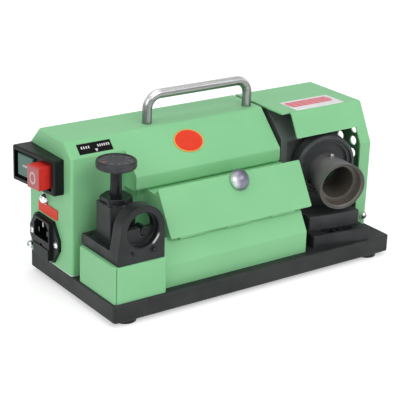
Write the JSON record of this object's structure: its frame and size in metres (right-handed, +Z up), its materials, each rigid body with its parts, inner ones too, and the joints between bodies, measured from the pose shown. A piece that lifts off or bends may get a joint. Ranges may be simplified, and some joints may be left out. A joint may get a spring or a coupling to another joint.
{
  "type": "drill bit sharpener",
  "caption": "Bench drill bit grinder: black base, green folded covers, collet door with chrome knob, setting fixture with dial, swivelling grinding port and carry handle.",
  "frame": {"origin": "on the bench, below the middle of the machine's outer box", "axes": "+X along the machine from the switch end to the grinding wheel end, +Y from the front to the back, +Z up"},
  "size_m": [0.3185, 0.137, 0.1606],
  "materials": {
    "green_paint": "semi-matte",
    "black_casting": "black paint, satin",
    "rubber": "matte",
    "satin_steel": "satin",
    "chrome": "polished",
    "black_steel": "black oxide",
    "port_steel": "turned, worn",
    "zinc_steel": "zinc plated",
    "black_plastic": "gloss",
    "red_plastic": "gloss",
    "green_plastic": "gloss",
    "red_paint": "gloss",
    "brass": "bright",
    "copper": "bright",
    "motor_paint": "satin",
    "magnet": "sintered",
    "cast_aluminium": "cast",
    "lamination": "varnished",
    "board_green": "satin",
    "abrasive": "bonded grit",
    "fan_plastic": "matte"
  },
  "bodies": {
    "base": {"base_plate": "black_casting", "rubber_feet": "rubber", "foot_screws": "zinc_steel", "main_cover": "green_paint", "wheel_cover": "green_paint", "cover_brackets": "zinc_steel", "cover_screws": "chrome", "carry_handle": "satin_steel", "handle_screws": "zinc_steel", "collet_box": "green_paint", "collet_rack": "zinc_steel", "collets": "satin_steel", "door_hinge_pin": "zinc_steel", "pedestal": "green_paint", "setting_body": "black_casting", "setting_web": "black_casting", "setting_screws": "black_steel", "setting_pin": "zinc_steel", "lock_nut": "black_steel", "switch_housing": "black_plastic", "switch_block": "black_plastic", "inlet_body": "black_plastic", "inlet_pins": "brass", "inlet_screws": "chrome", "rating_plate": "red_paint", "earth_nut": "chrome", "control_board": "board_green", "motor_can": "motor_paint", "motor_magnets": "magnet", "motor_front_bell": "cast_aluminium", "motor_rear_bell": "cast_aluminium", "motor_bearings": "zinc_steel", "brush_holders": "black_plastic", "motor_cradles": "black_casting", "cradle_screws": "black_steel", "wheel_guard": "black_casting", "guard_screws": "black_steel", "swivel_pivot": "zinc_steel", "swivel_lock_screw": "black_steel"},
    "rotor": {"motor_shaft": "zinc_steel", "armature": "lamination", "commutator": "copper", "cooling_fan": "fan_plastic", "wheel_hub": "zinc_steel", "grinding_wheel": "cast_aluminium", "abrasive_rim": "abrasive", "wheel_nut": "zinc_steel"},
    "port_carriage": {"swivel_plate": "black_casting", "port_holder": "black_casting", "port_sleeve": "port_steel", "index_pin": "zinc_steel"},
    "door": {"collet_door": "green_paint", "door_knob": "chrome"},
    "setting_stop": {"setting_stop": "black_steel"},
    "dial": {"dial_spindle": "black_steel", "dial_knob": "black_steel"},
    "start_button": {"start_button": "green_plastic"},
    "stop_button": {"stop_button": "red_plastic"},
    "fuse_drawer": {"fuse_drawer": "black_plastic"}
  },
  "joints": [
    {"name": "wheel_spin", "type": "hinge", "parent": "base", "child": "rotor", "pos_m": [0.02543, 0.032, 0.073], "axis": [1, 0, 0], "continuous": true},
    {"name": "port_swivel", "type": "hinge", "parent": "base", "child": "port_carriage", "pos_m": [0.11143, 0.0061, 0.0195], "axis": [0, 0, 1], "range_deg": [-7, 8]},
    {"name": "door_hinge", "type": "hinge", "parent": "base", "child": "door", "pos_m": [-0.00157, -0.05209, 0.0576], "axis": [1, 0, 0], "range_deg": [0, 115]},
    {"name": "stop_lift", "type": "slide", "parent": "base", "child": "setting_stop", "axis": [0, 0, 1], "range_m": [-0.00062, 0.00062]},
    {"name": "dial_turn", "type": "hinge", "parent": "setting_stop", "child": "dial", "pos_m": [-0.11107, -0.029, 0.1256], "axis": [0, 0, 1], "range_deg": [-150, 150]},
    {"name": "start_press", "type": "slide", "parent": "base", "child": "start_button", "axis": [0.9893, 0.1462, 0], "range_m": [0, 0.0022], "stiffness_N_per_m": 400},
    {"name": "stop_press", "type": "slide", "parent": "base", "child": "stop_button", "axis": [0.9893, 0.1462, 0], "range_m": [0, 0.0026], "stiffness_N_per_m": 400},
    {"name": "fuse_slide", "type": "slide", "parent": "base", "child": "fuse_drawer", "axis": [-1, 0, 0], "range_m": [0, 0.014]}
  ],
  "couplings": [
    {"joint": "dial_turn", "follows": "stop_lift", "rad_per_m": 4188.8}
  ]
}
